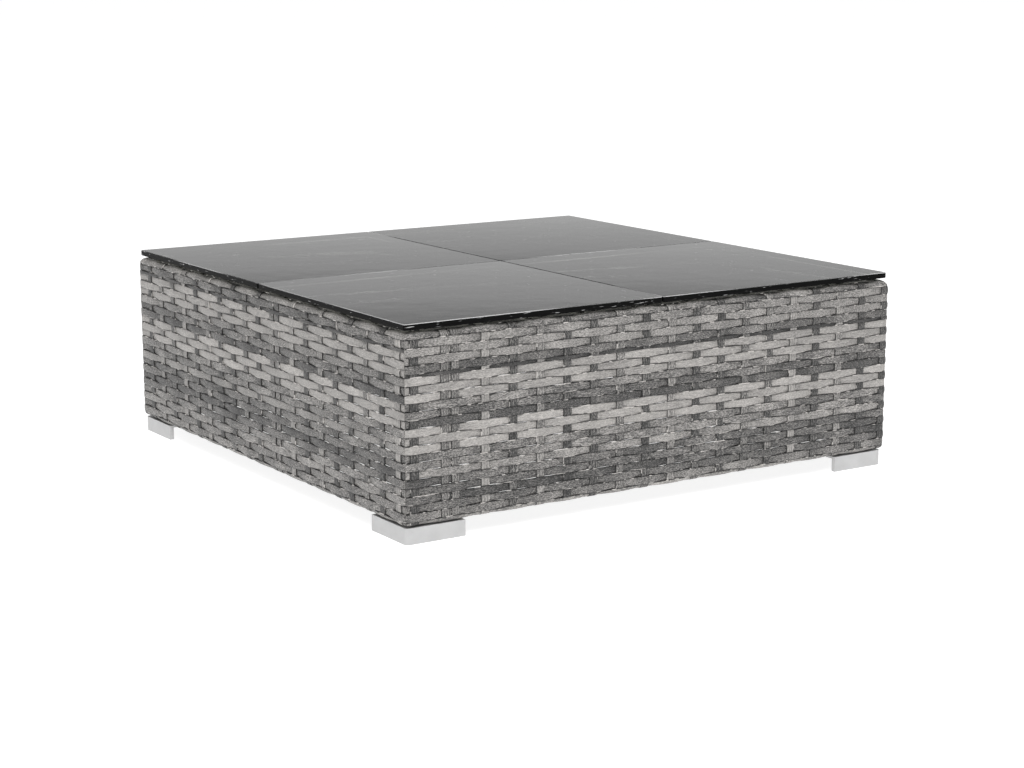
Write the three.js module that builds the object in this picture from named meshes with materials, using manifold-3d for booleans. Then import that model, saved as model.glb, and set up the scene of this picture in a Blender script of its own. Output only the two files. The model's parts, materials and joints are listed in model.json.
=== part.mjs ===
// Square wicker coffee table. Four woven side skins and a woven deck cover welded tube frames,
// four tinted glass panes lie on clear pads, and four angle feet carry the corners.
// Millimetres, +Z up, origin on the floor under the middle of the table.

import * as THREE from "three";
import { mergeVertices } from "three/addons/utils/BufferGeometryUtils.js";
import Module from "manifold-3d";

const wasm = await Module();
wasm.setup();

// Overall size
const TABLE_SIDE = 1000;
const TABLE_HEIGHT = 350;
const FEET_HEIGHT = 27;

// Clearance between pieces that are cut to fit each other
const FIT = 0.3;

// Glass top: four square panes
const GLASS_THICKNESS = 10;
const GLASS_INSET = 4;
const PANE_GAP = 2;
const PANE_CORNER_RADIUS = 4;
const PANE_ARRIS = 1;

// Clear pads under the glass
const PAD_THICKNESS = 3;
const PAD_RADIUS = 8;
const PAD_FROM_EDGE = 35;

// Woven skins and deck
const WEAVE_THICKNESS = 6;
const LIP_WIDTH = 26;
const SHOULDER_RADIUS = 14;
const HEM_RADIUS = 9;

// Frames of square tube
const TUBE = 20;
const UPRIGHTS_PER_SIDE = 2;

// Angle feet
const FOOT_INSET = 4;
const FOOT_LEG = 109;
const FOOT_WALL = 8;
const FOOT_FLANGE_WIDTH = 24;
const FOOT_FLANGE_THICKNESS = 4;
const FOOT_CORNER_RADIUS = 8;

// Fasteners: M6 button-head bolts and 4 mm pan-head screws
const BOLT = { shank: 3, length: 36, headRadius: 5.5, headHeight: 3.5, key: 2.1, keyDepth: 2 };
const SCREW = { shank: 2, length: 24, headRadius: 4.2, headHeight: 2.6, key: 1.3, keyDepth: 1.5 };
const CORNER_BOLT_HEIGHTS = [90, 270];
const DECK_BOLT_OFFSET = 300;
const FOOT_SCREW_OFFSET = 75;

// Heights and depths that follow from the sizes above
const HALF = TABLE_SIDE / 2;
const GLASS_BOTTOM = TABLE_HEIGHT - GLASS_THICKNESS;
const WEAVE_TOP = GLASS_BOTTOM - PAD_THICKNESS;
const WEAVE_BOTTOM = FEET_HEIGHT;
const FRAME_TOP = WEAVE_TOP - WEAVE_THICKNESS - FIT;
const FRAME_BOTTOM = WEAVE_BOTTOM + WEAVE_THICKNESS + FIT;
const FRAME_DEPTH = WEAVE_THICKNESS + FIT;
const FRAME_INNER = HALF - FRAME_DEPTH - TUBE;
const DECK_FRAME_HALF = FRAME_INNER - FIT;
const DECK_HALF = HALF - LIP_WIDTH - FIT;
const RAIL_MIDDLE = FRAME_DEPTH + TUBE / 2;

// Sides in turning order, anticlockwise from above, starting with the one that faces -Y
const SIDES = ["front", "right", "back", "left"];
const CORNERS = ["front_left", "front_right", "back_right", "back_left"];
const CORNER_SIGNS = [[-1, -1], [1, -1], [1, 1], [-1, 1]];

const COLOURS = {
  glass: { color: 0x5f615e, roughness: 0.05, metalness: 0, transparent: true, opacity: 0.7 },
  wicker: { color: 0x827f7b, roughness: 0.55, metalness: 0 },
  frame: { color: 0x4a4845, roughness: 0.45, metalness: 0.6 },
  foot: { color: 0xcdcfd1, roughness: 0.4, metalness: 0.2 },
  pad: { color: 0xe6e8e6, roughness: 0.2, metalness: 0, transparent: true, opacity: 0.5 },
  steel: { color: 0xb4b6b8, roughness: 0.3, metalness: 1 },
};

const table = new THREE.Group();

function addPiece(name, geometry, look, turns = 0) {
  const mesh = new THREE.Mesh(geometry, new THREE.MeshStandardMaterial(COLOURS[look]));
  mesh.name = name;
  mesh.rotation.z = (turns * Math.PI) / 2;
  table.add(mesh);
}

// Solids for cutting and joining

function toSolid(geometry) {
  const bare = geometry.index ? geometry.toNonIndexed() : geometry.clone();
  bare.deleteAttribute("normal");
  bare.deleteAttribute("uv");
  const merged = mergeVertices(bare, 1e-4);
  const vertProperties = Float32Array.from(merged.attributes.position.array);
  const triVerts = Uint32Array.from(merged.index.array);
  return new wasm.Manifold(new wasm.Mesh({ numProp: 3, vertProperties, triVerts }));
}

function toGeometry(solid) {
  const mesh = solid.getMesh();
  const geometry = new THREE.BufferGeometry();
  geometry.setAttribute("position", new THREE.BufferAttribute(mesh.vertProperties, 3));
  geometry.setIndex(new THREE.BufferAttribute(mesh.triVerts, 1));
  return geometry;
}

function cut(geometry, cutters) {
  const whole = toSolid(geometry);
  const left = cutters.reduce((solid, cutter) => solid.subtract(toSolid(cutter)), whole);
  return toGeometry(left);
}

// A round hole along an axis, "y" or "z", between two places on it
function hole(radius, axis, across, from, to) {
  const drill = new THREE.CylinderGeometry(radius + FIT, radius + FIT, Math.abs(to - from), 12);
  const middle = (from + to) / 2;
  if (axis === "y") {
    return drill.translate(across.x, middle, across.z);
  }
  return drill.rotateX(Math.PI / 2).translate(across.x, across.y, middle);
}

// Woven side skin: a C-section around the frame's rails, mitred at both ends

function skinSection() {
  const section = new THREE.Shape();
  section.moveTo(LIP_WIDTH, WEAVE_BOTTOM);
  section.lineTo(LIP_WIDTH, WEAVE_BOTTOM + WEAVE_THICKNESS);
  section.lineTo(WEAVE_THICKNESS, WEAVE_BOTTOM + WEAVE_THICKNESS);
  section.lineTo(WEAVE_THICKNESS, WEAVE_TOP - WEAVE_THICKNESS);
  section.lineTo(LIP_WIDTH, WEAVE_TOP - WEAVE_THICKNESS);
  section.lineTo(LIP_WIDTH, WEAVE_TOP);
  section.absarc(
    SHOULDER_RADIUS, WEAVE_TOP - SHOULDER_RADIUS, SHOULDER_RADIUS, Math.PI / 2, Math.PI, false,
  );
  section.absarc(HEM_RADIUS, WEAVE_BOTTOM + HEM_RADIUS, HEM_RADIUS, Math.PI, 1.5 * Math.PI, false);
  section.closePath();
  return section;
}

// Turns a section drawn as (depth, height) and extruded along its length to lie on the front
function layAlongFront(geometry) {
  const axes = new THREE.Matrix4().makeBasis(
    new THREE.Vector3(0, 1, 0), new THREE.Vector3(0, 0, 1), new THREE.Vector3(1, 0, 0),
  );
  return geometry.applyMatrix4(axes).translate(-HALF, -HALF, 0);
}

// Moves each end of a piece along the front to the 45 degree plane through the corner
function mitreEnds(geometry) {
  const places = geometry.attributes.position;
  for (let i = 0; i < places.count; i += 1) {
    const reach = Math.abs(places.getY(i)) - FIT / 2;
    places.setX(i, Math.sign(places.getX(i)) * reach);
  }
  return geometry;
}

function footScrewPlaces() {
  const along = HALF - FOOT_SCREW_OFFSET;
  const across = HALF - RAIL_MIDDLE;
  return [{ x: -along, y: -across }, { x: along, y: -across }];
}

function sideSkin() {
  const bar = new THREE.ExtrudeGeometry(
    skinSection(), { depth: TABLE_SIDE, bevelEnabled: false, curveSegments: 6 },
  );
  const skin = mitreEnds(layAlongFront(bar));
  const screwHoles = footScrewPlaces().map(
    (place) => hole(SCREW.shank, "z", place, WEAVE_BOTTOM - 1, FRAME_BOTTOM),
  );
  return cut(skin, screwHoles);
}

// Welded side frame: two rails, two end posts and evenly spaced uprights

function box(low, high) {
  const size = new THREE.Vector3().subVectors(high, low);
  const middle = new THREE.Vector3().addVectors(low, high).divideScalar(2);
  return new THREE.BoxGeometry(size.x, size.y, size.z).translate(middle.x, middle.y, middle.z);
}

// The open bays between the uprights, reaching past both faces of the tubes
function bays(halfLength, outer) {
  const count = UPRIGHTS_PER_SIDE + 1;
  const width = (2 * halfLength - (count + 1) * TUBE) / count;
  return Array.from({ length: count }, (_, bay) => {
    const start = -halfLength + TUBE + bay * (width + TUBE);
    return box(
      new THREE.Vector3(start, outer - 1, FRAME_BOTTOM + TUBE),
      new THREE.Vector3(start + width, outer + TUBE + 1, FRAME_TOP - TUBE),
    );
  });
}

// The front and back frames run the whole width, and the other two fit between them
function sideFrame(runsWholeWidth) {
  const halfLength = runsWholeWidth ? HALF - FRAME_DEPTH : FRAME_INNER - FIT;
  const outer = -(HALF - FRAME_DEPTH);
  const inner = outer + TUBE;
  const bar = box(
    new THREE.Vector3(-halfLength, outer, FRAME_BOTTOM),
    new THREE.Vector3(halfLength, inner, FRAME_TOP),
  );

  const drills = footScrewPlaces().map(
    (place) => hole(SCREW.shank, "z", place, FRAME_BOTTOM - 1, FRAME_BOTTOM + 16),
  );
  for (const x of [-DECK_BOLT_OFFSET, DECK_BOLT_OFFSET]) {
    drills.push(hole(BOLT.shank, "y", { x, z: FRAME_TOP - TUBE / 2 }, inner - 17, inner + 1));
  }
  for (const z of CORNER_BOLT_HEIGHTS) {
    for (const end of [-1, 1]) {
      const post = end * (HALF - RAIL_MIDDLE);
      if (runsWholeWidth) {
        drills.push(hole(BOLT.shank, "y", { x: post, z }, inner - 17, inner + 1));
      } else {
        const drill = hole(BOLT.shank, "y", { x: 0, z }, halfLength - TUBE - 1, halfLength + 1);
        drills.push(drill.rotateZ(-end * Math.PI / 2).translate(0, -(HALF - RAIL_MIDDLE), 0));
      }
    }
  }
  return cut(bar, [...bays(halfLength, outer), ...drills]);
}

// Deck frame: a square of tube with a cross under the seams of the glass

function deckFrame() {
  const edge = DECK_FRAME_HALF;
  const near = TUBE / 2;
  const far = edge - TUBE;
  const bottom = FRAME_TOP - TUBE;
  const plate = box(
    new THREE.Vector3(-edge, -edge, bottom), new THREE.Vector3(edge, edge, FRAME_TOP),
  );
  const cutters = CORNER_SIGNS.map(([xSign, ySign]) => {
    const quarter = box(
      new THREE.Vector3(near, near, bottom - 1), new THREE.Vector3(far, far, FRAME_TOP + 1),
    );
    const middle = (near + far) / 2;
    return quarter.translate((xSign - 1) * middle, (ySign - 1) * middle, 0);
  });
  for (let side = 0; side < 4; side += 1) {
    for (const x of [-DECK_BOLT_OFFSET, DECK_BOLT_OFFSET]) {
      const drill = hole(BOLT.shank, "y", { x, z: FRAME_TOP - TUBE / 2 }, -edge - 1, 1 - far);
      cutters.push(drill.rotateZ((side * Math.PI) / 2));
    }
  }
  return cut(plate, cutters);
}

function deckWeave() {
  return new THREE.BoxGeometry(2 * DECK_HALF, 2 * DECK_HALF, WEAVE_THICKNESS).translate(
    0, 0, WEAVE_TOP - WEAVE_THICKNESS / 2,
  );
}

// Glass pane with rounded corners and ground edges

const PANE_SIDE = (TABLE_SIDE - 2 * GLASS_INSET - PANE_GAP) / 2;
const PANE_MIDDLE = (PANE_SIDE + PANE_GAP) / 2;

function roundedSquare(side, radius) {
  const half = side / 2;
  const turn = half - radius;
  const outline = new THREE.Shape();
  outline.absarc(turn, -turn, radius, -Math.PI / 2, 0, false);
  outline.absarc(turn, turn, radius, 0, Math.PI / 2, false);
  outline.absarc(-turn, turn, radius, Math.PI / 2, Math.PI, false);
  outline.absarc(-turn, -turn, radius, Math.PI, 1.5 * Math.PI, false);
  outline.closePath();
  return outline;
}

function glassPane(xSign, ySign) {
  const outline = roundedSquare(PANE_SIDE - 2 * PANE_ARRIS, PANE_CORNER_RADIUS - PANE_ARRIS);
  const pane = new THREE.ExtrudeGeometry(outline, {
    depth: GLASS_THICKNESS - 2 * PANE_ARRIS,
    curveSegments: 5,
    bevelThickness: PANE_ARRIS,
    bevelSize: PANE_ARRIS,
    bevelSegments: 1,
  });
  return pane.translate(xSign * PANE_MIDDLE, ySign * PANE_MIDDLE, GLASS_BOTTOM + PANE_ARRIS);
}

function clearPad(x, y) {
  const pad = new THREE.CylinderGeometry(PAD_RADIUS, PAD_RADIUS, PAD_THICKNESS, 20);
  return pad.rotateX(Math.PI / 2).translate(x, y, WEAVE_TOP + PAD_THICKNESS / 2);
}

// Angle foot at the front left corner: an L of wall with a flange that screws to the rails

function angleOutline(inset, width) {
  const corner = -HALF + inset;
  const end = -HALF + FOOT_INSET + FOOT_LEG;
  const inner = corner + width;
  const radius = FOOT_CORNER_RADIUS;
  const outline = new THREE.Shape();
  outline.absarc(corner + radius, corner + radius, radius, Math.PI, 1.5 * Math.PI, false);
  outline.lineTo(end, corner);
  outline.lineTo(end, inner);
  outline.lineTo(inner, inner);
  outline.lineTo(inner, end);
  outline.lineTo(corner, end);
  outline.closePath();
  return outline;
}

function angleFoot() {
  const top = FEET_HEIGHT - FIT;
  const wall = new THREE.ExtrudeGeometry(
    angleOutline(FOOT_INSET, FOOT_WALL), { depth: top, bevelEnabled: false, curveSegments: 8 },
  );
  const flange = new THREE.ExtrudeGeometry(
    angleOutline(FOOT_INSET, FOOT_FLANGE_WIDTH),
    { depth: FOOT_FLANGE_THICKNESS, bevelEnabled: false, curveSegments: 8 },
  );
  flange.translate(0, 0, top - FOOT_FLANGE_THICKNESS);
  const [onFront] = footScrewPlaces();
  const onLeft = { x: onFront.y, y: onFront.x };
  const drills = [onFront, onLeft].map(
    (place) => hole(SCREW.shank, "z", place, top - FOOT_FLANGE_THICKNESS - 1, top + 1),
  );
  return cut(toGeometry(toSolid(wall).add(toSolid(flange))), drills);
}

// Fasteners: a domed head with a six-sided key recess on a plain shank, pointing along -Z

function fastener(size) {
  const outline = new THREE.Path();
  outline.moveTo(0, -size.length);
  outline.lineTo(size.shank - 0.5, -size.length);
  outline.lineTo(size.shank, -size.length + 0.5);
  outline.lineTo(size.shank, 0);
  outline.lineTo(size.headRadius, 0);
  outline.quadraticCurveTo(size.headRadius, size.headHeight, size.headRadius / 2, size.headHeight);
  outline.lineTo(0, size.headHeight);
  const body = new THREE.LatheGeometry(outline.getPoints(3), 12).rotateX(Math.PI / 2);
  const recess = new THREE.CylinderGeometry(size.key, size.key, size.keyDepth + 1, 6);
  recess.rotateX(Math.PI / 2).translate(0, 0, size.headHeight - size.keyDepth / 2 + 0.5);
  return cut(body, [recess]);
}

// A bolt or screw whose head sits at a place and whose shank points along a direction
function placedFastener(size, place, direction) {
  const turn = new THREE.Quaternion().setFromUnitVectors(new THREE.Vector3(0, 0, -1), direction);
  return fastener(size).applyQuaternion(turn).translate(place.x, place.y, place.z);
}

// The table

SIDES.forEach((side, turns) => {
  addPiece(`${side}_frame`, sideFrame(turns % 2 === 0), "frame", turns);
  addPiece(`${side}_weave`, sideSkin(), "wicker", turns);
});
addPiece("deck_frame", deckFrame(), "frame");
addPiece("deck_weave", deckWeave(), "wicker");

CORNERS.forEach((corner, index) => {
  const [xSign, ySign] = CORNER_SIGNS[index];
  addPiece(`glass_${corner}`, glassPane(xSign, ySign), "glass");
  const reach = PANE_SIDE / 2 - PAD_FROM_EDGE;
  CORNER_SIGNS.forEach(([xPad, yPad], number) => {
    const x = xSign * PANE_MIDDLE + xPad * reach;
    const y = ySign * PANE_MIDDLE + yPad * reach;
    addPiece(`pad_${corner}_${number + 1}`, clearPad(x, y), "pad");
  });
});

const UP = new THREE.Vector3(0, 0, 1);
CORNERS.forEach((corner, turns) => {
  addPiece(`foot_${corner}`, angleFoot(), "foot", turns);
  const underFlange = FEET_HEIGHT - FIT - FOOT_FLANGE_THICKNESS;
  const [onFront] = footScrewPlaces();
  [onFront, { x: onFront.y, y: onFront.x }].forEach((place, number) => {
    const screw = placedFastener(SCREW, { ...place, z: underFlange }, UP);
    addPiece(`foot_screw_${corner}_${number + 1}`, screw, "steel", turns);
  });
});

// Corner bolts go through the end posts of the left and right frames into the other two
const OUTWARD = new THREE.Vector3(0, -1, 0);
CORNERS.forEach((corner, index) => {
  const [xSign, ySign] = CORNER_SIGNS[index];
  CORNER_BOLT_HEIGHTS.forEach((z, number) => {
    const place = { x: -ySign * xSign * (HALF - RAIL_MIDDLE), y: TUBE + FIT - FRAME_INNER, z };
    const bolt = placedFastener(BOLT, place, OUTWARD);
    addPiece(`corner_bolt_${corner}_${number + 1}`, bolt, "steel", ySign < 0 ? 0 : 2);
  });
});

// Deck bolts go outward through the deck frame into the top rails of the side frames
SIDES.forEach((side, turns) => {
  [-DECK_BOLT_OFFSET, DECK_BOLT_OFFSET].forEach((x, number) => {
    const place = { x, y: TUBE - DECK_FRAME_HALF, z: FRAME_TOP - TUBE / 2 };
    addPiece(`deck_bolt_${side}_${number + 1}`, placedFastener(BOLT, place, OUTWARD), "steel", turns);
  });
});

export default table;
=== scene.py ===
"""Looks for the square wicker coffee table: woven strips, glass, feet, frames and a white studio."""

import json
import math

import bpy
import numpy as np
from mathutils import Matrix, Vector


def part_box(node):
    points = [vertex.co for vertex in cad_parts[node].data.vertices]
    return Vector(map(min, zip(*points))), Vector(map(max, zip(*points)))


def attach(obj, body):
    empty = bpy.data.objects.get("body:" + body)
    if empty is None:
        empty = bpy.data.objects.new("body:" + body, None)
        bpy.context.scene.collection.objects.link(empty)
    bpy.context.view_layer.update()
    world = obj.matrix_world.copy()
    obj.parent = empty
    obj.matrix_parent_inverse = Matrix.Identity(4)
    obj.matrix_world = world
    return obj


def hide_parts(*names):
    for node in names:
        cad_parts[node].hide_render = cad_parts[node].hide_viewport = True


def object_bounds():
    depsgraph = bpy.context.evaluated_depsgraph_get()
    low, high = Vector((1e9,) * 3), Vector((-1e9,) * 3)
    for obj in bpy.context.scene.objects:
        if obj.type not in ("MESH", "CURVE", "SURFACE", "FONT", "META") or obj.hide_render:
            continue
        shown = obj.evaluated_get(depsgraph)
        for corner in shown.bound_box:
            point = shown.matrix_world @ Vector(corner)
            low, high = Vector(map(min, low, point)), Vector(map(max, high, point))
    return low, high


MM = 0.001

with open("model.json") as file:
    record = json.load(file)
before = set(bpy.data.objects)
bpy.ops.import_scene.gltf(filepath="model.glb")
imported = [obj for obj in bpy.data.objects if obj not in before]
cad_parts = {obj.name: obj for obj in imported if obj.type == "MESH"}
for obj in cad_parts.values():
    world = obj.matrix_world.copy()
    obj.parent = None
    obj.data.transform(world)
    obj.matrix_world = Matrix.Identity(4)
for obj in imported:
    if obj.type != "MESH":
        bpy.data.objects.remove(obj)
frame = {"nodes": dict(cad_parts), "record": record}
CAD_LOW, CAD_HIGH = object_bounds()
HALF = CAD_HIGH.x
PANE_LOW, PANE_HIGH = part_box("glass_back_right")
PANE_MIDDLE = (PANE_LOW.x + PANE_HIGH.x) / 2

# Camera, fitted to the view from above the front left corner
LENS = 75.5
CAMERA_PLACE = (-2.128, -3.291, 0.913)
CAMERA_YAW = math.radians(33.2)
CAMERA_PITCH = math.radians(11.46)

# Woven strip
STRIP_THICKNESS = 1.5 * MM
WEFT_CROWN = 0.5 * MM
WEFT_SWING = 1.4 * MM
WARP_SWING = 0.8 * MM
WEFT_SWELL = 0.05
WEFT_SWAY = 0.4 * MM
STRIP_GAP = 0.05 * MM
STRIP_OVERLAP = 0.55 * MM
WARP_WIDTH = 16.5 * MM
DOUBLED_WARP_WIDTH = 15.5 * MM
DOUBLED_WARP_SPREAD = 9.5 * MM
WEAVE_DEPTH = 3.0 * MM
WEFT_STEP = 6.6 * MM
WARP_STEP = 3.4 * MM

# Ends of the wefts: the stretch where their swing dies out, and how their tips turn in
END_RUN = 18 * MM
TIP_RUN = 4 * MM
TIP_TUCK = 1.3 * MM

# Corners of the sides: clearance to the next side, and the deeper notch between two hems
CORNER_CLEARANCE = 0.2 * MM
HEM_NOTCH = 1.6 * MM
HEM_NOTCH_RUN = 5 * MM

# Strips lie flattest this far past the start of the hem's turn, and are free again after the run
HEM_CALM_PLACE = 7 * MM
HEM_CALM_RUN = 14 * MM

# Woven deck
DECK_ROW_HEIGHT = 13.5 * MM
DECK_WARP_SPACING = 52.6 * MM
DECK_COARSENESS = 1.6
DECK_SHADES = ("dusk", "mid", "pale", "dark", "light", "mid")

# Bow of the panes, in radians per metre, and height of their waves
PANE_CURVATURE = 0.10
PANE_WAVES = 0.35 * MM

# Corner rounding of the skins, at the outer face
SHOULDER_RADIUS = 14 * MM
HEM_RADIUS = 9 * MM

# Shades of the strips, as places on the weave's colour ramp
SHADES = {
    "black": 0.10,
    "dark": 0.22,
    "dusk": 0.34,
    "mid": 0.46,
    "pale": 0.58,
    "light": 0.69,
    "bright": 0.74,
}

# Weft rows from the inner edge of the top lip down to the inner edge of the bottom lip
ROW_SHADES = (
    "mid mid pale pale pale dusk black light light light mid dusk dark "
    "bright light bright mid mid pale dusk dusk dark dusk mid pale mid"
).split()
THIN_ROW = 6
THIN_ROW_SHARE = 0.38

# How each side is woven: the shade that its rows start from, and its warps from left to right as
# seen from outside. A plus marks the doubled warp, which stands a little apart from the others.
SIDE_WEAVES = {
    "front": {
        "first_row": 0,
        "ends": (19 * MM, 991 * MM),
        "warps": "dark mid+ light dark pale dark dark mid dark pale "
        "dark dark mid dusk light dark pale dark dark",
    },
    "right": {
        "first_row": 8,
        "ends": (36 * MM, 968 * MM),
        "warps": "dark pale dark dark mid dark mid+ light dark pale "
        "dark dark mid dark light dusk pale dark dark",
    },
    "back": {
        "first_row": 15,
        "ends": (27 * MM, 974 * MM),
        "warps": "mid dark light dark pale dark dark mid dark dusk "
        "pale dark dark mid+ light dark pale dark mid",
    },
    "left": {
        "first_row": 3,
        "ends": (47 * MM, 977 * MM),
        "warps": "dark pale dusk light dark pale dark dark mid dark "
        "mid+ light dark pale dark dark mid dark light",
    },
}
DOUBLED_WARP_SPACING = 1.24


# Camera


def add_camera():
    data = bpy.data.cameras.new("camera")
    data.lens = LENS
    data.sensor_width = 36
    camera = bpy.data.objects.new("camera", data)
    camera.location = CAMERA_PLACE
    camera.rotation_euler = (math.pi / 2 - CAMERA_PITCH, 0, -CAMERA_YAW)
    bpy.context.scene.collection.objects.link(camera)
    bpy.context.scene.camera = camera


# Material nodes


class Shader:
    """A node material under construction. Inputs are values, or sockets of other nodes."""

    def __init__(self, name):
        self.material = bpy.data.materials.new(name)
        self.material.use_nodes = True
        self.tree = self.material.node_tree
        self.tree.nodes.clear()

    def add(self, kind, inputs=None, **settings):
        node = self.tree.nodes.new("ShaderNode" + kind)
        for name, value in settings.items():
            setattr(node, name, value)
        for key, value in (inputs or {}).items():
            self.set(node.inputs[key], value)
        return node

    def set(self, socket, value):
        if isinstance(value, bpy.types.NodeSocket):
            self.tree.links.new(value, socket)
        else:
            socket.default_value = value

    def math(self, operation, first, second=0.0, third=0.0):
        node = self.add("Math", {0: first, 1: second, 2: third}, operation=operation)
        return node.outputs[0]

    def mapped(self, value, low, high, new_low, new_high):
        """Moves a value from one range to another, and stops at the ends."""
        node = self.add(
            "MapRange",
            {"Value": value, 1: low, 2: high, 3: new_low, 4: new_high},
            interpolation_type="SMOOTHSTEP",
        )
        return node.outputs[0]

    def vector(self, x=0.0, y=0.0, z=0.0):
        return self.add("CombineXYZ", {"X": x, "Y": y, "Z": z}).outputs[0]

    def noise(self, vector, scale=1.0, detail=2.0, roughness=0.5):
        inputs = {"Vector": vector, "Scale": scale, "Detail": detail, "Roughness": roughness}
        return self.add("TexNoise", inputs).outputs[0]

    def ramp(self, value, stops):
        node = self.add("ValToRGB", {0: value})
        elements = node.color_ramp.elements
        while len(elements) < len(stops):
            elements.new(0.5)
        for element, (place, colour) in zip(elements, stops):
            element.position = place
            element.color = (*colour, 1)
        return node.outputs[0]

    def bump(self, height, distance, strength=1.0, normal=None):
        inputs = {"Height": height, "Distance": distance, "Strength": strength}
        if normal is not None:
            inputs["Normal"] = normal
        return self.add("Bump", inputs).outputs[0]

    def object_place(self):
        return self.add("TexCoord").outputs["Object"]

    def finish(self, surface):
        self.tree.links.new(surface, self.add("OutputMaterial").inputs["Surface"])
        return self.material


def grey(value, warmth=0.0):
    return (value * (1 + warmth), value, value * (1 - warmth))


def woven_strip():
    """Flat synthetic strip: a shade of its own, patches along it, fine streaks and mottling, with
    painted shade and glints along its edges and painted shade in the grooves of warps.
    """
    s = Shader("woven_strip")
    strip = s.add("Attribute", attribute_name="strip").outputs["Vector"]
    along, across, seed = s.add("SeparateXYZ", {0: strip}).outputs
    shade = s.add("Attribute", attribute_name="shade").outputs["Fac"]
    ribbed = s.add("Attribute", attribute_name="ribbed").outputs["Fac"]

    far = s.math("MULTIPLY", seed, 97.0)
    patches = s.noise(s.vector(s.math("MULTIPLY", along, 14.0), far), detail=1.0)
    streaks = s.noise(
        s.vector(s.math("MULTIPLY", along, 60.0), s.math("MULTIPLY", across, 8.0), far), detail=2.0
    )
    mottling = s.noise(
        s.vector(s.math("MULTIPLY", along, 260.0), s.math("MULTIPLY", across, 6.5), far),
        detail=4.0, roughness=0.8,
    )

    # Light strips are even, and darker ones are patchy and mottled
    unevenness = s.mapped(shade, 0.50, 0.70, 1.0, 0.45)
    patchy = s.math("MULTIPLY", s.math("SUBTRACT", patches, 0.5), unevenness)
    mottled = s.math("MULTIPLY", s.mapped(mottling, 0.36, 0.64, -0.36, 0.36), unevenness)
    tone = s.math("MULTIPLY_ADD", patchy, 0.7, shade)
    tone = s.math("ADD", tone, mottled)
    tone = s.math("MULTIPLY_ADD", s.math("SUBTRACT", streaks, 0.5), 0.45, tone)

    # Painted shade along the strip edges where the rows meet, turned into painted glints in short
    # stretches
    edge_glint_stretches = s.noise(s.vector(s.math("MULTIPLY", along, 75.0), far, across), detail=0.0)
    edge = s.mapped(s.math("ABSOLUTE", across), 0.78, 0.92, 0.0, 1.0)
    painted_edge_shade_and_glint = s.mapped(edge_glint_stretches, 0.60, 0.65, -0.40, 0.75)
    tone = s.math("MULTIPLY_ADD", edge, painted_edge_shade_and_glint, tone)

    # Painted shade in the grooves between the ribs of a warp
    wave = s.math("COSINE", s.math("MULTIPLY", across, 9.4))
    groove_shade = s.math("MULTIPLY", s.mapped(wave, -1.0, -0.5, -0.16, 0.0), ribbed)
    tone = s.math("ADD", tone, groove_shade)

    colour = s.ramp(
        tone,
        [
            (0.0, grey(0.022, 0.01)),
            (0.22, grey(0.062, 0.02)),
            (0.46, grey(0.165, 0.035)),
            (0.70, grey(0.33, 0.045)),
            (1.0, grey(0.60, 0.045)),
        ],
    )
    roughness = s.mapped(streaks, 0.3, 0.7, 0.32, 0.52)
    ribs_bump = s.bump(s.math("MULTIPLY", wave, ribbed), 0.35 * MM)
    grain = s.math("MULTIPLY_ADD", mottling, 0.7, streaks)
    normal = s.bump(grain, 0.5 * MM, 0.9, ribs_bump)
    shader = s.add(
        "BsdfPrincipled",
        {"Base Color": colour, "Roughness": roughness, "Normal": normal, "IOR": 1.45},
    )
    return s.finish(shader.outputs[0])


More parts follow.
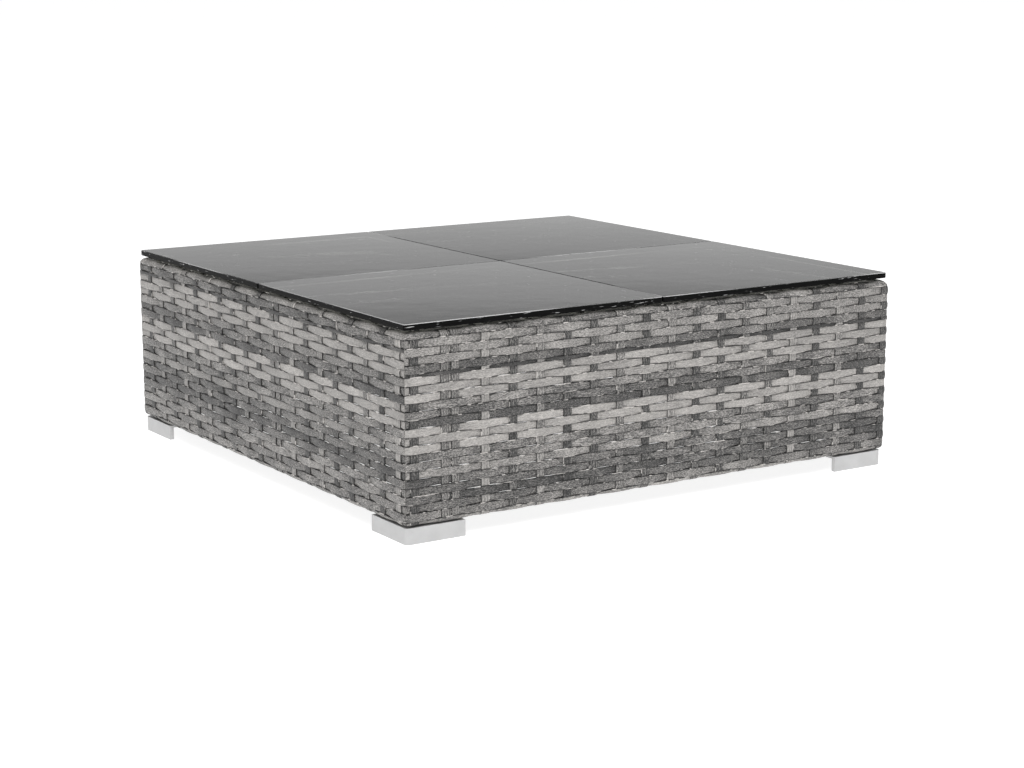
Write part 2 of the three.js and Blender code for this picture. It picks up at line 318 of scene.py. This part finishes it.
def tinted_glass():
    """Smoked toughened glass: slightly bowed, wavy faces, near-black edges with painted glints, and
    ground arrises with a painted highlight.
    """
    s = Shader("tinted_glass")
    place = s.object_place()
    x, y, z = s.add("SeparateXYZ", {0: place}).outputs

    # Each pane bows a little from its own middle
    from_middle = [
        s.math("SUBTRACT", axis, s.math("MULTIPLY", s.math("SIGN", axis), PANE_MIDDLE))
        for axis in (x, y)
    ]
    squares = [s.math("MULTIPLY", axis, axis) for axis in from_middle]
    bow = s.math("MULTIPLY", s.math("ADD", *squares), -PANE_CURVATURE / 2)
    waves = s.noise(place, 22.0, 2.0, 0.45)
    surface_height = s.math("MULTIPLY_ADD", waves, PANE_WAVES, bow)
    normal = s.bump(surface_height, 1.0)

    mirror = s.add("BsdfGlossy", {"Color": (1, 1, 1, 1), "Roughness": 0.03, "Normal": normal})
    clear = s.add("BsdfTransparent", {"Color": (0.68, 0.69, 0.665, 1)})
    film = s.add("BsdfDiffuse", {"Color": (0.10, 0.10, 0.095, 1)})
    body = s.add("MixShader", {0: 0.08, 1: clear.outputs[0], 2: film.outputs[0]})
    fresnel = s.add("Fresnel", {"IOR": 1.52, "Normal": normal}).outputs[0]
    face = s.add("MixShader", {0: fresnel, 1: body.outputs[0], 2: mirror.outputs[0]})

    # Edges with a few painted glints on their near-black colour, and an upper arris with a painted
    # highlight along part of its length
    flat = [s.math("MULTIPLY", axis, 45.0) for axis in (x, y)]
    chips_and_glints = s.noise(s.vector(*flat, s.math("MULTIPLY", z, 450.0)), detail=2.0)
    edge_colour = s.ramp(chips_and_glints, [(0.0, grey(0.002)), (0.66, grey(0.006)), (0.72, grey(0.45))])
    edge = s.add(
        "BsdfPrincipled",
        {
            "Base Color": edge_colour,
            "Roughness": s.mapped(chips_and_glints, 0.3, 0.7, 0.08, 0.25),
            "IOR": 1.5,
            "Specular IOR Level": 0.03,
            "Normal": s.bump(chips_and_glints, 0.4 * MM),
        },
    )
    # Painted highlight: the upper arris is pale grey in stretches and dark between them
    arris_highlight_stretches = s.noise(place, 3.5, 1.0)
    arris_colour = s.ramp(arris_highlight_stretches, [(0.50, grey(0.015)), (0.60, grey(0.45))])
    arris = s.add("BsdfPrincipled", {"Base Color": arris_colour, "Roughness": 0.25})
    upright = s.add("SeparateXYZ", {0: s.add("NewGeometry").outputs["True Normal"]}).outputs[2]
    on_arris = s.mapped(upright, 0.5, 0.6, 0.0, 1.0)
    on_face = s.mapped(s.math("ABSOLUTE", upright), 0.9, 0.95, 0.0, 1.0)
    rim = s.add("MixShader", {0: on_arris, 1: edge.outputs[0], 2: arris.outputs[0]})
    surface = s.add("MixShader", {0: on_face, 1: rim.outputs[0], 2: face.outputs[0]})
    return s.finish(surface.outputs[0])


def foot_plastic():
    s = Shader("foot_plastic")
    place = s.object_place()
    clouds = s.noise(place, 35.0, 3.0)
    grain = s.noise(place, 1400.0, 2.0)
    colour = s.ramp(clouds, [(0.3, grey(0.515)), (0.7, grey(0.585))])
    shader = s.add(
        "BsdfPrincipled",
        {
            "Base Color": colour,
            "Roughness": s.mapped(clouds, 0.3, 0.7, 0.30, 0.42),
            "Normal": s.bump(grain, 0.06 * MM, 0.5),
        },
    )
    return s.finish(shader.outputs[0])


def frame_tube():
    """Dark powder coat with its fine orange-peel."""
    s = Shader("frame_tube")
    place = s.object_place()
    peel = s.noise(place, 900.0, 2.0)
    dust = s.noise(place, 14.0, 4.0)
    colour = s.ramp(dust, [(0.3, grey(0.050, 0.02)), (0.75, grey(0.075, 0.04))])
    shader = s.add(
        "BsdfPrincipled",
        {
            "Base Color": colour,
            "Roughness": s.mapped(peel, 0.3, 0.7, 0.42, 0.62),
            "Normal": s.bump(peel, 0.08 * MM, 0.6),
        },
    )
    return s.finish(shader.outputs[0])


def clear_pad():
    s = Shader("clear_pad")
    specks = s.noise(s.object_place(), 600.0, 2.0)
    clear = s.add("BsdfTransparent", {"Color": (0.86, 0.87, 0.86, 1)})
    body = s.add(
        "BsdfPrincipled",
        {
            "Base Color": s.ramp(specks, [(0.3, grey(0.45)), (0.7, grey(0.6))]),
            "Roughness": s.mapped(specks, 0.3, 0.7, 0.15, 0.3),
        },
    )
    surface = s.add("MixShader", {0: 0.45, 1: clear.outputs[0], 2: body.outputs[0]})
    return s.finish(surface.outputs[0])


def fastener_steel():
    s = Shader("fastener_steel")
    place = s.object_place()
    plating = s.noise(place, 250.0, 3.0)
    colour = s.ramp(plating, [(0.3, grey(0.50, 0.01)), (0.7, grey(0.62, 0.0))])
    shader = s.add(
        "BsdfPrincipled",
        {
            "Base Color": colour,
            "Metallic": 1.0,
            "Roughness": s.mapped(plating, 0.3, 0.7, 0.25, 0.4),
            "Normal": s.bump(plating, 0.03 * MM, 0.4),
        },
    )
    return s.finish(shader.outputs[0])


# The weave, built flat as (length, down, out) and then wrapped around the section of the skin


def cross_section(crown):
    """Places around a strip's section as (share of half its width, height above its middle)."""
    half = STRIP_THICKNESS / 2
    front = [(t, half + crown * (1 - t * t)) for t in (-0.9, -0.5, 0.0, 0.5, 0.9)]
    return [(-1, 0), *front, (1, 0), (0.9, -half), (-0.9, -half)]


class Weave:
    """Collects closed strips, each a row of equal rings of points, and makes one mesh of them."""

    def __init__(self, coarseness=1.0):
        self.weft_step = WEFT_STEP * coarseness
        self.warp_step = WARP_STEP * coarseness
        self.points = []
        self.faces = []
        self.facts = []
        self.count = 0

    def add_strip(self, rings, along, across, shade, seed, ribbed):
        """rings has shape (steps, ring, 3). along has a value for each step, across for each corner."""
        steps, size = rings.shape[:2]
        index = self.count + np.arange(steps * size).reshape(steps, size)
        after = np.roll(index, -1, axis=1)
        sides = np.stack([index[:-1], after[:-1], after[1:], index[1:]], axis=-1)
        self.faces += sides.reshape(-1, 4).tolist()
        self.faces += [index[0, ::-1].tolist(), index[-1].tolist()]
        facts = np.empty((steps, size, 5))
        facts[..., 0] = along[:, None]
        facts[..., 1] = across[None, :]
        facts[..., 2:] = seed, shade, ribbed
        self.points.append(rings.reshape(-1, 3))
        self.facts.append(facts.reshape(-1, 5))
        self.count += steps * size

    def to_object(self, name, place):
        """place turns (length, down, out) into points in space."""
        flat = np.concatenate(self.points)
        mesh = bpy.data.meshes.new(name)
        mesh.from_pydata(place(flat).tolist(), [], self.faces)
        facts = np.concatenate(self.facts)
        strip = mesh.attributes.new("strip", "FLOAT_VECTOR", "POINT")
        strip.data.foreach_set("vector", facts[:, :3].astype(np.float32).ravel())
        for column, fact in ((3, "shade"), (4, "ribbed")):
            attribute = mesh.attributes.new(fact, "FLOAT", "POINT")
            attribute.data.foreach_set("value", facts[:, column].astype(np.float32))
        mesh.shade_smooth()
        mesh.update()
        made = bpy.data.objects.new(name, mesh)
        bpy.context.scene.collection.objects.link(made)
        return made


def swing(places, crossings, signs):
    """A cosine through +1 or -1 at each crossing, and level beyond the first and last."""
    right = np.clip(np.searchsorted(crossings, places), 1, len(crossings) - 1)
    start, end = crossings[right - 1], crossings[right]
    share = np.clip((places - start) / (end - start), 0, 1)
    blend = (1 - np.cos(math.pi * share)) / 2
    return signs[right - 1] * (1 - blend) + signs[right] * blend


def fuller(wave):
    """Makes a cosine stay longer near its crests, as a stiff strip does."""
    return wave * (1.5 - 0.5 * wave * wave)


def weft_over(row, warps):
    """+1 where the weft passes outside a warp and -1 where it passes behind it."""
    return np.where((warps + row) % 2 == 0, -1.0, 1.0)


def add_wefts(weave, rows, warp_places, length, rng):
    """rows is a list of (middle, height, shade)."""
    warps = np.arange(len(warp_places))
    steps = round(length / weave.weft_step)
    inner = np.linspace(0, length, steps + 1)[1:-1]
    tips = np.array([0, 1.2, 3.2]) * MM
    stations = np.concatenate([tips, inner, length - tips[::-1]])
    section = cross_section(WEFT_CROWN)
    across = np.array([share for share, _ in section])
    out = np.array([height for _, height in section])
    for number, (middle, height, shade) in enumerate(rows):
        crests = weft_over(number, warps) * rng.uniform(0.9, 1.05, len(warps))
        wave = swing(stations, warp_places, crests)
        sway = swing(stations, warp_places, rng.uniform(-WEFT_SWAY, WEFT_SWAY, len(warps)))
        from_end = np.minimum(stations, length - stations)
        wave = wave * np.clip(from_end / END_RUN, 0.15, 1)
        tuck = TIP_TUCK * np.clip(1 - from_end / TIP_RUN, 0, 1) ** 2
        lift = WEFT_SWING * fuller(wave) - tuck
        half_width = height / 2 * (1 + WEFT_SWELL * wave) - STRIP_GAP
        half_width += STRIP_OVERLAP * wave * wave
        rings = np.empty((len(stations), len(section), 3))
        rings[..., 0] = stations[:, None]
        rings[..., 1] = middle + sway[:, None] + half_width[:, None] * across
        rings[..., 2] = lift[:, None] + out
        weave.add_strip(rings, stations + rng.uniform(0, 9), across, shade, rng.uniform(), 0.0)


def add_warps(weave, rows, warp_places, widths, shades, down, rng):
    """Warps run the whole way down, from one end of the rows to the other."""
    middles = np.array([middle for middle, _, _ in rows])
    stations = np.linspace(0, down, round(down / weave.warp_step) + 1)
    section = cross_section(0.15 * MM)
    across = np.array([share for share, _ in section])
    out = np.array([height for _, height in section])
    for warp, (place, width, shade) in enumerate(zip(warp_places, widths, shades)):
        over = np.array([-weft_over(row, np.array([warp]))[0] for row in range(len(rows))])
        lift = WARP_SWING * fuller(swing(stations, middles, over))
        spreads = (0.0,) if width is WARP_WIDTH else (-DOUBLED_WARP_SPREAD, DOUBLED_WARP_SPREAD)
        for spread in spreads:
            rings = np.empty((len(stations), len(section), 3))
            rings[..., 0] = place + spread + width / 2 * across
            rings[..., 1] = stations[:, None]
            rings[..., 2] = lift[:, None] + out
            weave.add_strip(rings, stations + rng.uniform(0, 9), across, shade, rng.uniform(), 1.0)


class SkinSection:
    """The middle line of a side skin's section, from the top lip's edge to the bottom lip's edge."""

    def __init__(self, top, bottom, lip):
        shoulder = SHOULDER_RADIUS - WEAVE_DEPTH
        hem = HEM_RADIUS - WEAVE_DEPTH
        self.top, self.bottom = top, bottom
        self.lip = lip
        self.radii = shoulder, hem
        lengths = [
            lip - SHOULDER_RADIUS,
            shoulder * math.pi / 2,
            (top - SHOULDER_RADIUS) - (bottom + HEM_RADIUS),
            hem * math.pi / 2,
            lip - HEM_RADIUS,
        ]
        self.ends = np.cumsum(lengths)
        self.length = self.ends[-1]

    def at(self, down, out):
        """(depth from the outer face, height) of points at these distances along and out of it."""
        shoulder, hem = self.radii
        lip_end, shoulder_end, face_end, hem_end = self.ends[:4]
        top_turn = np.clip((down - lip_end) / shoulder, 0, math.pi / 2)
        low_turn = np.clip((down - face_end) / hem, 0, math.pi / 2)
        depth = SHOULDER_RADIUS - (shoulder + out) * np.sin(top_turn)
        height = self.top - SHOULDER_RADIUS + (shoulder + out) * np.cos(top_turn)
        depth = depth + np.clip(lip_end - down, 0, None)
        height = height - np.clip(down - shoulder_end, 0, face_end - shoulder_end)
        depth = depth + (hem + out) * (1 - np.cos(low_turn)) + np.clip(down - hem_end, 0, None)
        height = height - (hem + out) * np.sin(low_turn)
        return depth, height


def row_plan(down, shares, shades):
    """(middle, height, shade) of rows that fill the whole way down."""
    heights = np.array(shares) * down / sum(shares)
    middles = np.cumsum(heights) - heights / 2
    return list(zip(middles, heights, shades))


def warp_plan(ends, warps):
    """(places, widths, shades) of the warps of a side."""
    names = warps.split()
    doubled = np.array([name.endswith("+") for name in names])
    beside = doubled[:-1] | doubled[1:]
    steps = np.cumsum(np.where(beside, DOUBLED_WARP_SPACING, 1.0))
    first, last = ends
    places = np.concatenate([[first], first + (last - first) * steps / steps[-1]])
    widths = [DOUBLED_WARP_WIDTH if twice else WARP_WIDTH for twice in doubled]
    return places, widths, [SHADES[name.rstrip("+")] for name in names]


def weave_side(side, quarter_turns, material):
    low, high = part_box("front_weave")
    lip = high.y - low.y
    section = SkinSection(high.z, low.z, lip)
    plan = SIDE_WEAVES[side]
    count = len(ROW_SHADES)
    order = [(row + plan["first_row"]) % count for row in range(count)]
    shares = [THIN_ROW_SHARE if row == THIN_ROW else 1.0 for row in order]
    shades = [SHADES[ROW_SHADES[row]] for row in order]
    rows = row_plan(section.length, shares, shades)
    places, widths, warp_shades = warp_plan(plan["ends"], plan["warps"])
    rng = np.random.default_rng(20 + quarter_turns)
    weave = Weave()
    length = 2 * HALF
    add_wefts(weave, rows, places, length, rng)
    add_warps(weave, rows, places, widths, warp_shades, section.length, rng)

    hem_start = section.ends[2]

    def place(flat):
        from_calmest = np.abs(flat[:, 1] - hem_start - HEM_CALM_PLACE)
        calm = 1 - 0.5 * np.clip(1 - from_calmest / HEM_CALM_RUN, 0, 1)
        depth, height = section.at(flat[:, 1], flat[:, 2] * calm)
        along = flat[:, 0] - HALF
        notch = HEM_NOTCH * np.clip((flat[:, 1] - hem_start) / HEM_NOTCH_RUN, 0, 1)
        limit = HALF - depth - CORNER_CLEARANCE - notch
        past = np.clip(np.abs(along) - limit, 0, None)
        along = np.sign(along) * (np.abs(along) - 0.98 * past)
        across = depth - HALF
        turn = quarter_turns * math.pi / 2
        x = along * math.cos(turn) - across * math.sin(turn)
        y = along * math.sin(turn) + across * math.cos(turn)
        return np.stack([x, y, height], axis=1)

    finish_piece(weave.to_object(f"woven_{side}", place), material, f"{side}_weave")


def weave_deck(material):
    low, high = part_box("deck_weave")
    length = high.x - low.x
    rng = np.random.default_rng(31)
    count = round(length / DECK_ROW_HEIGHT)
    picks = rng.integers(0, len(DECK_SHADES), count)
    shades = [SHADES[DECK_SHADES[pick]] for pick in picks]
    rows = row_plan(length, [1.0] * count, shades)
    warp_count = round(length / DECK_WARP_SPACING)
    gap = length / warp_count
    places = np.linspace(gap / 2, length - gap / 2, warp_count)
    picks = rng.integers(0, len(DECK_SHADES), warp_count)
    warp_shades = [SHADES[DECK_SHADES[pick]] for pick in picks]
    weave = Weave(coarseness=DECK_COARSENESS)
    add_wefts(weave, rows, places, length, rng)
    add_warps(weave, rows, places, [WARP_WIDTH] * warp_count, warp_shades, length, rng)
    middle = high.z - WEAVE_DEPTH

    def place(flat):
        return np.stack([low.x + flat[:, 0], high.y - flat[:, 1], middle + flat[:, 2]], axis=1)

    finish_piece(weave.to_object("woven_deck", place), material, "deck_weave")


def finish_piece(piece, material, node):
    piece.data.materials.append(material)
    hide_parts(node)
    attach(piece, "base")


# CAD nodes that stay, with their edges eased


def ease_edges(node, width, segments):
    weld = node.modifiers.new("weld", "WELD")
    weld.merge_threshold = 0.01 * MM
    bevel = node.modifiers.new("eased_edges", "BEVEL")
    bevel.width = width
    bevel.segments = segments
    bevel.limit_method = "ANGLE"
    bevel.angle_limit = math.radians(35)
    bevel.harden_normals = True


def dress_nodes():
    makers = {
        "tinted_glass": tinted_glass,
        "foot_plastic": foot_plastic,
        "frame_tube": frame_tube,
        "clear_pad": clear_pad,
        "fastener_steel": fastener_steel,
    }
    materials = {slot: make() for slot, make in makers.items()}
    easing = {"foot_plastic": 0.8 * MM, "frame_tube": 1.5 * MM, "clear_pad": 0.6 * MM}
    for part in frame["record"]["subparts"]:
        slot = part["material_slot"]
        if slot not in materials:
            continue
        node = frame["nodes"][part["node"]]
        node.data.materials.clear()
        node.data.materials.append(materials[slot])
        if slot in easing:
            ease_edges(node, easing[slot], 3)


# Studio


def add_floor():
    """A floor that glows white, so that little shadow is left on it."""
    mesh = bpy.data.meshes.new("floor")
    reach = 40
    corners = [(-reach, -reach, 0), (reach, -reach, 0), (reach, reach, 0), (-reach, reach, 0)]
    mesh.from_pydata(corners, [], [(0, 1, 2, 3)])
    floor = bpy.data.objects.new("floor", mesh)
    bpy.context.scene.collection.objects.link(floor)
    s = Shader("floor")
    surface = s.add(
        "BsdfPrincipled",
        {
            "Base Color": (0.45, 0.45, 0.45, 1),
            "Roughness": 0.9,
            "Specular IOR Level": 0.0,
            "Emission Color": (1, 1, 1, 1),
            "Emission Strength": 0.86,
        },
    )
    mesh.materials.append(s.finish(surface.outputs[0]))


def add_world():
    """White walls under a dimmer ceiling. The glass mirrors both."""
    world = bpy.data.worlds.new("studio")
    bpy.context.scene.world = world
    world.use_nodes = True
    tree = world.node_tree
    tree.nodes.clear()
    place = tree.nodes.new("ShaderNodeTexCoord")
    split = tree.nodes.new("ShaderNodeSeparateXYZ")
    tree.links.new(place.outputs["Generated"], split.inputs[0])
    ramp = tree.nodes.new("ShaderNodeValToRGB")
    tree.links.new(split.outputs["Z"], ramp.inputs[0])
    stops = ramp.color_ramp.elements
    stops[0].position, stops[0].color = 0.18, (1, 1, 1, 1)
    stops[1].position, stops[1].color = 0.31, (0.5, 0.5, 0.5, 1)
    background = tree.nodes.new("ShaderNodeBackground")
    tree.links.new(ramp.outputs[0], background.inputs["Color"])
    background.inputs["Strength"].default_value = 0.6
    output = tree.nodes.new("ShaderNodeOutputWorld")
    tree.links.new(background.outputs[0], output.inputs["Surface"])


def add_light(name, place, size, power, mirrored=True):
    data = bpy.data.lights.new(name, "AREA")
    data.shape = "SQUARE"
    data.size = size
    data.energy = power
    light = bpy.data.objects.new(name, data)
    light.location = place
    light.visible_glossy = mirrored
    aim = Vector((0, 0, 0.2)) - Vector(place)
    light.rotation_euler = aim.to_track_quat("-Z", "Y").to_euler()
    bpy.context.scene.collection.objects.link(light)


add_camera()
bpy.context.scene.view_settings.view_transform = "Standard"
strip_material = woven_strip()
for turns, name in enumerate(("front", "right", "back", "left")):
    weave_side(name, turns, strip_material)
weave_deck(strip_material)
dress_nodes()
add_floor()
add_world()
add_light("key", (-1.9, -2.8, 4.0), 2.0, 130)
add_light("side", (2.6, -1.2, 3.8), 2.0, 45)
add_light("overhead", (0, 1.6, 4.2), 2.5, 50, mirrored=False)
